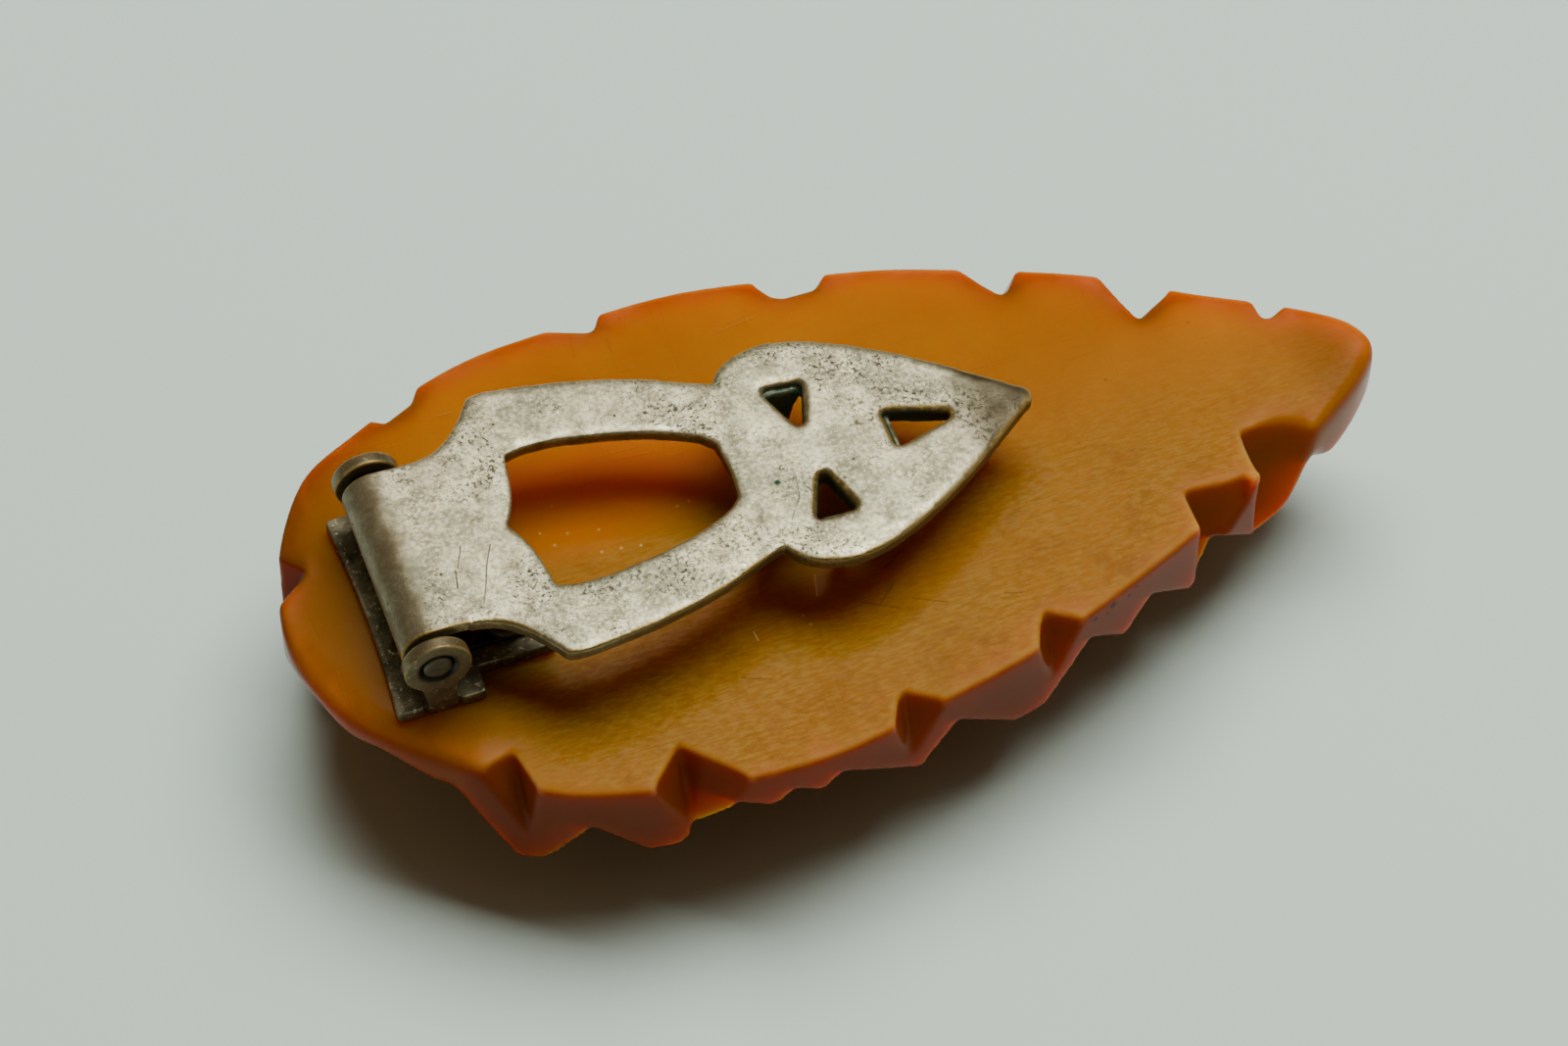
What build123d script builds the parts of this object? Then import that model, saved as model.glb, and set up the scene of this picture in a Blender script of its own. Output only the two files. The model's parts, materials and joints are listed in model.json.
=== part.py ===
from build123d import *
import math
import os

os.makedirs("parts", exist_ok=True)

# ---------------------------------------------------------------------------
# Carved leaf dress clip, lying on its carved dome with the flat back up.
# Row frame: +Z up, X along the leaf (stem end -X, tip +X), origin under the
# middle of the bounding box.  Local sketches are laid out about the foot of
# the hinge axis on the flat back: u along the leaf, v across it, w out of it.
# ---------------------------------------------------------------------------
HINGE_X = -20.253          # hinge axis in the row frame
BACK_Z = 9.30             # flat back above the lowest point of the dome
MID_Y = -0.036

# leaf
DOME_DEPTH = 9.30         # deepest point of the carved face under the back
DOME_U = 12.0             # where that point is
DOME_LONG_R = 85.0        # radius of the dome along the leaf
DOME_AXIS_W = 9.5         # axis of the dome's cross section above the back
EDGE_ROUND = 0.30         # worn edge round the flat back

# hardware
SHEET = 0.60              # flap sheet
BASE_T = 0.60             # base plate and ears
HINGE_W = 3.12            # pin axis above the flat back
PIN_R = 0.68
PIN_CLEAR = 0.05          # running clearance of the curl on the pin
EAR_R = 1.50
EAR_V = 5.50              # outer face of each ear
EAR_T = 0.60
FLAP_SLOPE = 2.2          # degrees the closed flap leans down to its tip
CURL_V = 4.50             # half width of the curl between the ears
TOOTH_T = 0.50
TOOTH_GAP = 0.20          # closed teeth stop this far off the flat back
SPRING_T = 0.25
NAIL_R = 0.45             # drive pins that hold the base plate to the leaf
NAIL_AT = [(3.75, 2.45), (3.75, -2.45)]

CURL_R = PIN_R + PIN_CLEAR + SHEET
FLAP_TOP = HINGE_W + CURL_R

BACK = Plane(origin=(HINGE_X, MID_Y, BACK_Z))
SIDE = Plane(origin=(HINGE_X, MID_Y, BACK_Z), x_dir=(1, 0, 0), z_dir=(0, -1, 0))


def at(u, v, w):
    return Vector(HINGE_X + u, MID_Y + v, BACK_Z + w)


# ---------------------------------------------------------------- leaf body
leaf_rim = [
    (45.80, 0.25), (45.15, 1.45), (43.5, 2.80), (41.5, 4.05), (39.0, 5.45),
    (35.4, 7.75), (32.9, 8.95), (29.5, 10.30), (26.6, 11.35), (23.0, 12.20),
    (20.2, 12.75), (17.0, 13.25), (14.0, 13.30), (10.4, 13.10), (7.1, 12.80),
    (4.4, 12.05), (2.1, 11.05), (0.2, 10.10), (-1.8, 8.95), (-3.2, 7.20),
    (-4.25, 5.10), (-4.95, 2.80), (-5.318, 0.40), (-5.12, -1.50),
    (-4.42, -3.55), (-3.20, -5.45), (-1.45, -7.20), (0.55, -8.95),
    (3.2, -11.05), (6.5, -12.20), (10.0, -12.95), (13.3, -13.25),
    (16.6, -13.00), (20.2, -12.20), (24.1, -11.30), (27.4, -10.20),
    (30.4, -9.00), (34.4, -7.25), (37.8, -5.55), (41.0, -3.95),
    (43.6, -2.35), (45.4, -0.75),
]

# notches cut into the rim from the back: plan outline where each one breaks
# the flat back, with the last points outside the rim
near_notches = [
    [(-2.6, -11.6), (-1.6, -9.25), (0.4, -8.80), (2.2, -8.36), (2.62, -10.4), (2.9, -12.6)],
    [(6.3, -13.6), (7.6, -11.75), (8.94, -10.38), (10.9, -12.45), (12.2, -14.2)],
    [(17.5, -14.6), (18.05, -12.4), (18.55, -11.35), (18.97, -10.97), (20.3, -11.85), (22.6, -13.9)],
    [(24.9, -13.4), (25.3, -10.75), (25.75, -9.70), (26.19, -9.05), (27.5, -9.90), (30.4, -12.2)],
    [(34.6, -9.8), (34.32, -6.9), (34.35, -5.01), (36.3, -5.15), (37.2, -5.10), (39.3, -7.6)],
    [(38.2, -7.6), (37.86, -4.5), (37.97, -2.79), (39.2, -2.60), (40.4, -2.60), (43.0, -5.6)],
]
far_notches = [
    [(1.1, 12.4), (1.55, 10.75), (2.2, 10.30), (3.65, 11.00), (4.05, 11.65), (4.5, 13.2)],
    [(9.2, 14.6), (10.6, 12.95), (12.4, 12.25), (12.75, 12.35), (13.2, 13.20), (13.5, 14.8)],
    [(19.9, 14.2), (20.45, 12.25), (20.9, 11.45), (21.4, 11.20), (22.9, 11.20), (23.4, 11.65), (24.9, 13.8)],
    [(28.7, 12.6), (29.55, 10.10), (30.2, 8.95), (30.8, 8.05), (31.2, 8.20), (32.4, 9.70), (33.2, 11.2)],
    [(35.2, 9.8), (35.45, 7.40), (35.8, 5.95), (36.2, 4.60), (36.8, 4.95), (38.0, 5.60), (39.4, 7.6)],
    [(41.2, 6.4), (41.45, 3.70), (41.5, 2.78), (41.9, 2.72), (42.9, 3.25), (44.6, 5.2)],
]
stem_notch = [(-7.2, 8.2), (-3.37, 3.57), (-7.2, 0.65)]

# V grooves cut into the carved face: apex line from the midrib to the rim,
# half the opening angle in degrees, then the half width where it is limited
near_grooves = [
    ((3.5, 0.4, -7.9), (-7.0, -3.0, 0.65), 80, 12.0),
    ((4.2, -0.6, -8.0), (-5.4, -7.6, 1.00), 80, 2.6),
    ((5.0, -1.4, -8.0), (-3.1, -10.6, 0.85), 45),
    ((-0.5, -1.0, -8.1), (5.6, -13.6, -1.5), 36),
    ((3.8, -0.8, -8.3), (11.9, -15.0, -0.7), 50),
    ((10.2, -7.8, -4.6), (14.3, -15.0, -0.7), 50),
    ((8.3, -0.7, -8.3), (16.6, -15.0, -0.6), 52),
    ((14.5, -0.6, -8.3), (22.6, -14.2, -0.9), 48),
    ((20.5, -0.4, -8.0), (29.6, -11.6, -0.9), 48),
    ((25.2, -0.3, -7.6), (33.2, -10.4, -0.9), 50),
    ((30.0, -0.2, -6.9), (37.2, -8.2, -0.9), 46),
    ((36.0, -0.1, -5.5), (43.9, -5.2, -0.9), 42),
]
far_grooves = [
    ((-2.0, 4.2, -7.4), (-3.4, 12.6, -1.0), 52),
    ((1.0, 2.8, -8.1), (7.7, 14.8, -1.4), 50),
    ((8.5, 2.2, -8.3), (17.0, 15.0, -1.4), 52),
    ((16.5, 1.6, -8.3), (26.6, 13.2, -1.2), 50),
    ((24.5, 1.0, -7.7), (33.6, 10.8, -0.9), 46),
    ((31.0, 0.7, -6.6), (39.4, 7.4, -0.8), 44),
]
midrib = [
    ((-7.5, 4.6, -5.9), (9.0, 1.5, -8.35), 46),
    ((8.0, 1.6, -8.35), (24.0, 0.8, -7.75), 46),
    ((23.0, 0.85, -7.85), (48.0, 0.1, -1.7), 44),
]
V_DEEP = 9.0              # height of every V cutter under its apex line

with BuildPart() as leaf_body:
    # slab with the leaf outline
    with BuildSketch(BACK):
        with BuildLine():
            Spline(*leaf_rim, periodic=True)
        make_face()
    extrude(amount=-(DOME_DEPTH + 1.0))
    fillet(leaf_body.edges().group_by(Axis.Z)[-1], radius=EDGE_ROUND)
    # carved side is a dome, round in both directions
    sag = lambda u: (u - DOME_U) ** 2 / (2 * DOME_LONG_R)
    with BuildSketch(SIDE):
        with BuildLine():
            ThreePointArc(
                (-12.0, -DOME_DEPTH + sag(-12.0)),
                (DOME_U, -DOME_DEPTH),
                (2 * DOME_U + 36.0, -DOME_DEPTH + sag(2 * DOME_U + 36.0)),
            )
            Polyline(
                (2 * DOME_U + 36.0, -DOME_DEPTH + sag(2 * DOME_U + 36.0)),
                (2 * DOME_U + 36.0, DOME_AXIS_W),
                (-12.0, DOME_AXIS_W),
                (-12.0, -DOME_DEPTH + sag(-12.0)),
            )
        make_face()
    revolve(
        axis=Axis(at(0, 0, DOME_AXIS_W), (1, 0, 0)),
        revolution_arc=360,
        mode=Mode.INTERSECT,
    )
    # V grooves of the veins
    for start, end, half, *limit in near_grooves + far_grooves + midrib:
        p0, p1 = at(*start), at(*end)
        run = p1 - p0
        side = run.cross(Vector(0, 0, 1)).normalized()
        cut_plane = Plane(origin=p0, x_dir=side, z_dir=run.normalized())
        sign = -1 if cut_plane.y_dir.Z > 0 else 1
        full = V_DEEP * math.tan(math.radians(half))
        wide = min([full] + limit)
        drop = sign * V_DEEP * wide / full
        with BuildSketch(cut_plane):
            with BuildLine():
                if limit:
                    Polyline(
                        (0, 0), (-wide, drop), (-wide, sign * V_DEEP),
                        (wide, sign * V_DEEP), (wide, drop), close=True
                    )
                else:
                    Polyline(
                        (0, 0), (-wide, sign * V_DEEP), (wide, sign * V_DEEP), close=True
                    )
            make_face()
        extrude(amount=run.length, mode=Mode.SUBTRACT)
    # rim notches, leaning outward as they go down
    lean = 0.52
    for notch_set, way in ((near_notches, -1), (far_notches, 1)):
        for pts in notch_set:
            with BuildSketch(BACK.offset(0.5)):
                with BuildLine():
                    Polyline(*[(u, v - way * lean * 0.5) for u, v in pts], close=True)
                make_face()
            extrude(amount=9.0, dir=(0, way * lean, -1), mode=Mode.SUBTRACT)
    with BuildSketch(BACK.offset(0.5)):
        with BuildLine():
            Polyline(*[(u + 0.12, v) for u, v in stem_notch], close=True)
        make_face()
    extrude(amount=12.0, dir=(-0.22, 0, -1), mode=Mode.SUBTRACT)
    # blind holes for the drive pins
    with BuildSketch(BACK.offset(0.5)):
        with Locations(*NAIL_AT):
            Circle(NAIL_R)
    extrude(amount=-(0.5 + 3.4), mode=Mode.SUBTRACT)

print("leaf", leaf_body.part.bounding_box(), leaf_body.part.volume, len(leaf_body.part.solids()))
leaf_body.part.label = "leaf_body"
export_step(leaf_body.part, "parts/leaf_body.step")


# --------------------------------------------------------------- hinge base
# One stamping: plate on the leaf, H-shaped finger ends, two ears bent up.
EAR_IN = EAR_V - EAR_T
FINGER_V = 5.52
plate_half = [
    (-2.00, FINGER_V), (-0.72, FINGER_V), (-0.72, 4.62),
    (0.84, 4.62), (0.84, FINGER_V), (2.02, FINGER_V), (2.02, 4.16), (5.60, 4.16),
]
with BuildPart() as hinge_base:
    with BuildSketch(BACK):
        with BuildLine():
            Polyline(*plate_half)
            Polyline(*[(u, -v) for u, v in plate_half])
            Line((5.60, 4.16), (5.60, -4.16))
            ThreePointArc((-2.00, FINGER_V), (-1.72, 0), (-2.00, -FINGER_V))
        make_face()
    extrude(amount=BASE_T)
    fillet(
        hinge_base.edges().filter_by(Axis.Z).filter_by(
            lambda e: abs(e.center().Y - MID_Y) > 4.9
            or e.center().X - HINGE_X > 5.0
        ),
        radius=0.22,
    )
    # ears: a neck out of the slot between the fingers, then a round eye
    for way in (-1, 1):
        ear_plane = Plane(
            origin=(HINGE_X, MID_Y + way * EAR_IN, BACK_Z),
            x_dir=(1, 0, 0),
            z_dir=(0, -1, 0),
        )
        with BuildSketch(ear_plane):
            with BuildLine():
                Polyline(
                    (-0.60, 0.0), (0.72, 0.0), (0.72, 1.0), (0.86, HINGE_W - 0.9),
                    (0.86, HINGE_W), (-0.86, HINGE_W), (-0.86, HINGE_W - 0.9),
                    (-0.60, 1.0), close=True,
                )
            make_face()
            with Locations((0, HINGE_W)):
                Circle(EAR_R)
        extrude(amount=-way * EAR_T)
        # floor of the bend, joining the neck to the plate
        with BuildSketch(BACK):
            with Locations((0.06, way * (4.62 + EAR_IN + 0.3) / 2)):
                Rectangle(1.32, EAR_IN + 0.3 - 4.62 + 0.1)
        extrude(amount=BASE_T)
    # pin holes, countersunk on the outside where the pin is peened over
    with BuildSketch(SIDE):
        with Locations((0, HINGE_W)):
            Circle(PIN_R)
    extrude(amount=7.0, both=True, mode=Mode.SUBTRACT)
    for way in (-1, 1):
        sink = Plane(
            origin=(HINGE_X, MID_Y + way * (EAR_V + 0.02), BACK_Z + HINGE_W),
            x_dir=(1, 0, 0),
            z_dir=(0, -way, 0),
        )
        with BuildSketch(sink):
            Circle(0.88)
        extrude(amount=0.24, taper=40, mode=Mode.SUBTRACT)
    # holes for the drive pins
    with BuildSketch(BACK):
        with Locations(*NAIL_AT):
            Circle(NAIL_R)
    extrude(amount=BASE_T, mode=Mode.SUBTRACT)

print("base", hinge_base.part.bounding_box(), hinge_base.part.volume, len(hinge_base.part.solids()))
hinge_base.part.label = "hinge_base"
export_step(hinge_base.part, "parts/hinge_base.step")

# ---------------------------------------------------------------- hinge pin
with BuildPart() as hinge_pin:
    with BuildSketch(SIDE):
        with Locations((0, HINGE_W)):
            Circle(PIN_R)
    extrude(amount=EAR_V - 0.03, both=True)
    fillet(hinge_pin.edges().filter_by(GeomType.CIRCLE), radius=0.14)

hinge_pin.part.label = "hinge_pin"
export_step(hinge_pin.part, "parts/hinge_pin.step")

# ---------------------------------------------------------------- clip flap
# Sheet outline, half of it, from the neck at the curl to the pointed tip.
lean_dir = (math.cos(math.radians(FLAP_SLOPE)), 0, -math.sin(math.radians(FLAP_SLOPE)))
up_dir = (math.sin(math.radians(FLAP_SLOPE)), 0, math.cos(math.radians(FLAP_SLOPE)))
FLAP = Plane(
    origin=(
        HINGE_X + CURL_R * up_dir[0],
        MID_Y,
        BACK_Z + HINGE_W + CURL_R * up_dir[2],
    ),
    x_dir=lean_dir,
    z_dir=up_dir,
)
neck = [(0.0, CURL_V), (1.5, 4.50), (2.7, 4.72), (3.6, 5.25), (4.35, 6.05), (4.85, 6.75), (5.15, 7.22)]
shoulder = [(5.15, 7.22), (5.75, 7.34), (7.2, 7.22), (8.6, 7.02), (10.8, 6.55), (13.0, 5.87), (14.7, 5.12), (15.72, 4.72)]
lobe = [(15.72, 4.72), (16.25, 5.45), (17.1, 5.95), (18.4, 6.22), (19.8, 6.02), (21.6, 5.32), (23.6, 4.22), (25.6, 2.85), (27.3, 1.52), (28.55, 0.55)]
tip = [(28.55, 0.55), (28.95, 0.0), (28.55, -0.55)]
window_far = [(5.83, 3.66), (7.2, 3.88), (9.3, 3.66), (11.4, 3.22), (13.2, 2.60), (14.30, 2.02)]
window_left = [(4.80, 0.0), (5.18, 0.70), (5.50, 1.60), (5.68, 2.60), (5.83, 3.66)]
flip = lambda pts: [(u, -v) for u, v in pts]
# pierced holes: bend side first, then the point
holes = [
    [(17.55, 3.82), (19.50, 3.68), (18.66, 0.98)],
    [(17.55, -3.82), (19.50, -3.68), (18.66, -0.98)],
    [(22.25, 1.05), (22.25, -1.05), (25.60, 0.0)],
]

def on_curl(radius, deg):
    return (
        radius * math.cos(math.radians(deg)),
        HINGE_W + radius * math.sin(math.radians(deg)),
    )


def along(point, length):
    return (point[0] + length * lean_dir[0], point[1] + length * lean_dir[2])


CURL_END = 300.0          # the roll stops short under the pin
tangent = 90.0 - FLAP_SLOPE
top0, low0 = on_curl(CURL_R, tangent), on_curl(CURL_R - SHEET, tangent)

with BuildPart() as clip_flap:
    # sheet seen from the side: flat flap running into the roll round the pin
    with BuildSketch(SIDE):
        with BuildLine():
            Line(along(top0, 31.0), top0)
            ThreePointArc(top0, on_curl(CURL_R, 190.0), on_curl(CURL_R, CURL_END))
            Line(on_curl(CURL_R, CURL_END), on_curl(CURL_R - SHEET, CURL_END))
            ThreePointArc(on_curl(CURL_R - SHEET, CURL_END), on_curl(CURL_R - SHEET, 190.0), low0)
            Line(low0, along(low0, 31.0))
            Line(along(low0, 31.0), along(top0, 31.0))
        make_face()
    extrude(amount=9.0, both=True)
    # trimmed to the outline of the blank
    with BuildSketch(FLAP.offset(3.0)):
        with BuildLine():
            for run in (neck, shoulder, lobe):
                Spline(*run)
                Spline(*flip(run))
            ThreePointArc(*tip)
            Polyline((0.0, CURL_V), (-4.0, CURL_V), (-4.0, -CURL_V), (0.0, -CURL_V))
        make_face()
    extrude(amount=-9.0, mode=Mode.INTERSECT)
    # window, with its bracket-shaped edge toward the hinge
    with BuildSketch(FLAP.offset(1.0)):
        with BuildLine():
            Spline(*window_far)
            Spline(*flip(window_far))
            Spline(*window_left)
            Spline(*flip(window_left))
            Line((14.30, 2.02), (14.74, 1.55))
            Line((14.30, -2.02), (14.74, -1.55))
            ThreePointArc((14.74, 1.55), (14.86, 0), (14.74, -1.55))
        make_face()
    extrude(amount=-3.0, mode=Mode.SUBTRACT)
    # three pierced holes
    for pts in holes:
        with BuildSketch(FLAP.offset(1.0)):
            with BuildLine():
                Polyline(*pts, close=True)
            make_face()
            fillet(vertices(), radius=0.22)
        extrude(amount=-3.0, mode=Mode.SUBTRACT)
    # teeth bent down from one side of each hole
    root_w = lambda u: HINGE_W + CURL_R - 0.14 - math.tan(math.radians(FLAP_SLOPE)) * u
    for way in (-1, 1):
        tooth_plane = Plane(
            origin=(HINGE_X, MID_Y + way * 3.98, BACK_Z),
            x_dir=(1, 0, 0),
            z_dir=(0, -1, 0),
        )
        with BuildSketch(tooth_plane):
            with BuildLine():
                Polyline(
                    (17.72, root_w(17.72) - 0.10), (19.34, root_w(19.34) - 0.10),
                    (19.30, root_w(19.3) - 0.62), (18.66, TOOTH_GAP),
                    (18.44, TOOTH_GAP), (17.76, root_w(17.7) - 0.62), close=True,
                )
            make_face()
        extrude(amount=way * TOOTH_T)
    with BuildSketch(Plane(origin=(HINGE_X + 22.10, MID_Y, BACK_Z), x_dir=(0, 1, 0), z_dir=(1, 0, 0))):
        with BuildLine():
            Polyline(
                (-0.86, root_w(22.4) - 0.10), (0.86, root_w(22.4) - 0.10),
                (0.84, root_w(22.4) - 0.62), (0.10, TOOTH_GAP), (-0.10, TOOTH_GAP),
                (-0.84, root_w(22.4) - 0.62), close=True,
            )
        make_face()
    extrude(amount=TOOTH_T)

print("flap", clip_flap.part.bounding_box(), clip_flap.part.volume, len(clip_flap.part.solids()))
clip_flap.part.label = "clip_flap"
export_step(clip_flap.part, "parts/clip_flap.step")

# -------------------------------------------------------------- flat spring
# Strip held on the plate by the drive pins, its free end under the curl.
spring_top = [(2.30, BASE_T + SPRING_T), (1.10, 1.00), (0.10, 1.28), (-0.75, 1.46)]
spring_low = [(2.30, BASE_T), (1.00, 0.77), (0.03, 1.04), (-0.80, 1.22)]
with BuildPart() as flat_spring:
    with BuildSketch(SIDE):
        with BuildLine():
            Line((5.20, BASE_T), (5.20, BASE_T + SPRING_T))
            Line((5.20, BASE_T + SPRING_T), (2.30, BASE_T + SPRING_T))
            Spline(*spring_top, tangents=((-1, 0), (-0.95, 0.2)))
            Line((-0.75, 1.46), (-0.80, 1.22))
            Spline(*spring_low, tangents=((-1, 0), (-0.95, 0.2)))
            Line((2.30, BASE_T), (5.20, BASE_T))
        make_face()
    extrude(amount=3.30, both=True)
    with BuildSketch(BACK):
        with Locations(*NAIL_AT):
            Circle(NAIL_R)
    extrude(amount=2.0, mode=Mode.SUBTRACT)

print("spring", flat_spring.part.bounding_box(), flat_spring.part.volume, len(flat_spring.part.solids()))
flat_spring.part.label = "flat_spring"
export_step(flat_spring.part, "parts/flat_spring.step")

# --------------------------------------------------------------- drive pins
with BuildPart() as drive_pins:
    with BuildSketch(BACK.offset(-3.3)):
        with Locations(*NAIL_AT):
            Circle(NAIL_R)
    extrude(amount=3.3 + BASE_T + SPRING_T)
    with BuildSketch(BACK.offset(BASE_T + SPRING_T)):
        with Locations(*NAIL_AT):
            Circle(0.95)
    extrude(amount=0.42)
    fillet(drive_pins.edges().group_by(Axis.Z)[-1], radius=0.30)
    chamfer(drive_pins.edges().group_by(Axis.Z)[0], length=0.25)

drive_pins.part.label = "drive_pins"
export_step(drive_pins.part, "parts/drive_pins.step")
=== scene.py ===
import bpy, bmesh, json, math
import numpy as np
from mathutils import Vector, Matrix, noise


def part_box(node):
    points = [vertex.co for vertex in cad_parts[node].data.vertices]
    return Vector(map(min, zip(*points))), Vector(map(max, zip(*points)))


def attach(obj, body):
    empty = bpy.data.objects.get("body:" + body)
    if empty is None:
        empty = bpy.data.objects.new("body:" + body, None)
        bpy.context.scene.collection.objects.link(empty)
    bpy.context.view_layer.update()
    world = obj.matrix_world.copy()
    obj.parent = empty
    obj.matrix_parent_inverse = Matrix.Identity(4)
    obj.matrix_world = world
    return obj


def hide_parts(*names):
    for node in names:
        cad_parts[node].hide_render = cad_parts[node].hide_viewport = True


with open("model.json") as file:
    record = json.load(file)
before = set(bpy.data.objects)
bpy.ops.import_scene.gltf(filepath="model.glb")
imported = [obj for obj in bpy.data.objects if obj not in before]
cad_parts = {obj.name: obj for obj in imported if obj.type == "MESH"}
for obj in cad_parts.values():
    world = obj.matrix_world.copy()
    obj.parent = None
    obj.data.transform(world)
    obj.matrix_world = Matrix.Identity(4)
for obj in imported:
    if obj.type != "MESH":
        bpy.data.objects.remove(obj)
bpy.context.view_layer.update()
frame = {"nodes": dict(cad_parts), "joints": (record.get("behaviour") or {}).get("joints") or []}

# ------------------------------------------------------------------ places
# The hinge foot on the flat back, in metres: everything is laid out from it.
joint = [j for j in frame["joints"] if j["name"] == "flap_hinge"][0]
leaf_lo, leaf_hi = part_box("leaf_body")
HX, HY = joint["pos_m"][0], joint["pos_m"][1]
BZ = leaf_hi[2]
MM = 0.001


def at(u, v, w):
    return Vector((HX + u * MM, HY + v * MM, BZ + w * MM))


# ------------------------------------------------------------------ camera
AZ, EL, ROLL = math.radians(-19.66656), math.radians(53.03445), math.radians(0.115753)
F_PX = 5000.0
back = Vector((math.sin(AZ) * math.cos(EL), -math.cos(AZ) * math.cos(EL), math.sin(EL)))
rgt = Vector((math.cos(AZ), math.sin(AZ), 0.0))
upv = back.cross(rgt)
r2 = math.cos(ROLL) * rgt + math.sin(ROLL) * upv
u2 = -math.sin(ROLL) * rgt + math.cos(ROLL) * upv
cam_data = bpy.data.cameras.new("cam")
cam = bpy.data.objects.new("cam", cam_data)
bpy.context.scene.collection.objects.link(cam)
cam_data.sensor_fit = "HORIZONTAL"
cam_data.sensor_width = 36.0
cam_data.lens = F_PX * 36.0 / 1600.0
cam_data.clip_start = 0.01
cam_data.clip_end = 10.0
c = at(16.42193, 0, 0) * 0 + at(0, 0, 0) + (16.42193 * r2 + 3.90382 * u2 + 212.451 * back) * MM
cam.matrix_world = Matrix((
    (r2.x, u2.x, back.x, c.x),
    (r2.y, u2.y, back.y, c.y),
    (r2.z, u2.z, back.z, c.z),
    (0, 0, 0, 1),
))
bpy.context.scene.camera = cam


# ----------------------------------------------------------------- helpers
def mesh_arrays(me):
    n = len(me.vertices)
    co = np.empty(n * 3); me.vertices.foreach_get("co", co)
    no = np.empty(n * 3); me.vertices.foreach_get("normal", no)
    ed = np.empty(len(me.edges) * 2, dtype=np.int64); me.edges.foreach_get("vertices", ed)
    return co.reshape(-1, 3), no.reshape(-1, 3), ed.reshape(-1, 2)


def smooth(co, ed, rounds, lam=0.5, weight=None):
    """Laplacian smoothing on edge neighbours, with a weight for each point."""
    n = len(co)
    a, b = ed[:, 0], ed[:, 1]
    deg = np.bincount(ed.ravel(), minlength=n).astype(float)
    deg[deg == 0] = 1
    w = lam if weight is None else lam * weight
    co = co.copy()
    for _ in range(rounds):
        for k in range(3):
            x = co[:, k]
            s = np.bincount(a, weights=x[b], minlength=n) + np.bincount(b, weights=x[a], minlength=n)
            co[:, k] = x + w * (s / deg - x)
    return co


def smooth_value(val, ed, rounds):
    n = len(val)
    deg = np.bincount(ed.ravel(), minlength=n).astype(float)
    deg[deg == 0] = 1
    for _ in range(rounds):
        s = np.bincount(ed[:, 0], weights=val[ed[:, 1]], minlength=n) + np.bincount(ed[:, 1], weights=val[ed[:, 0]], minlength=n)
        val = 0.5 * val + 0.5 * s / deg
    return val


def remeshed(node, name, voxel, rounds, keep=None):
    """A denser copy of a CAD node, its edges worn by smoothing."""
    src = frame["nodes"][node]
    me = src.data.copy()
    ob = bpy.data.objects.new(name, me)
    bpy.context.scene.collection.objects.link(ob)
    me.materials.clear()
    bm = bmesh.new(); bm.from_mesh(me)
    bmesh.ops.remove_doubles(bm, verts=bm.verts, dist=1e-7)
    bmesh.ops.recalc_face_normals(bm, faces=bm.faces)
    bm.to_mesh(me); bm.free()
    mod = ob.modifiers.new("r", "REMESH")
    mod.mode = "VOXEL"
    mod.voxel_size = voxel
    mod.adaptivity = 0.0
    dg = bpy.context.evaluated_depsgraph_get()
    new = bpy.data.meshes.new_from_object(ob.evaluated_get(dg))
    ob.modifiers.clear()
    ob.data = new
    bpy.data.meshes.remove(me)
    new.name = name
    co, no, ed = mesh_arrays(new)
    co = smooth(co, ed, rounds)
    new.vertices.foreach_set("co", co.ravel())
    new.update()
    for a in list(new.attributes):
        if a.name in ("sharp_face", "custom_normal"):
            new.attributes.remove(a)
    new.shade_smooth()
    return ob


def attribute(me, name, values):
    a = me.attributes.get(name) or me.attributes.new(name, "FLOAT", "POINT")
    a.data.foreach_set("value", np.asarray(values, dtype=np.float32))


def curvature(me, rounds=6):
    """Positive on worn outside edges, negative in corners."""
    co, no, ed = mesh_arrays(me)
    n = len(co)
    deg = np.bincount(ed.ravel(), minlength=n).astype(float)[:, None]
    deg[deg == 0] = 1
    s = np.zeros_like(co)
    np.add.at(s, ed[:, 0], co[ed[:, 1]])
    np.add.at(s, ed[:, 1], co[ed[:, 0]])
    d = s / deg - co
    k = -np.einsum("ij,ij->i", d, no)
    L = np.linalg.norm(co[ed[:, 0]] - co[ed[:, 1]], axis=1).mean()
    return smooth_value(k / L, ed, rounds)


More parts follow.
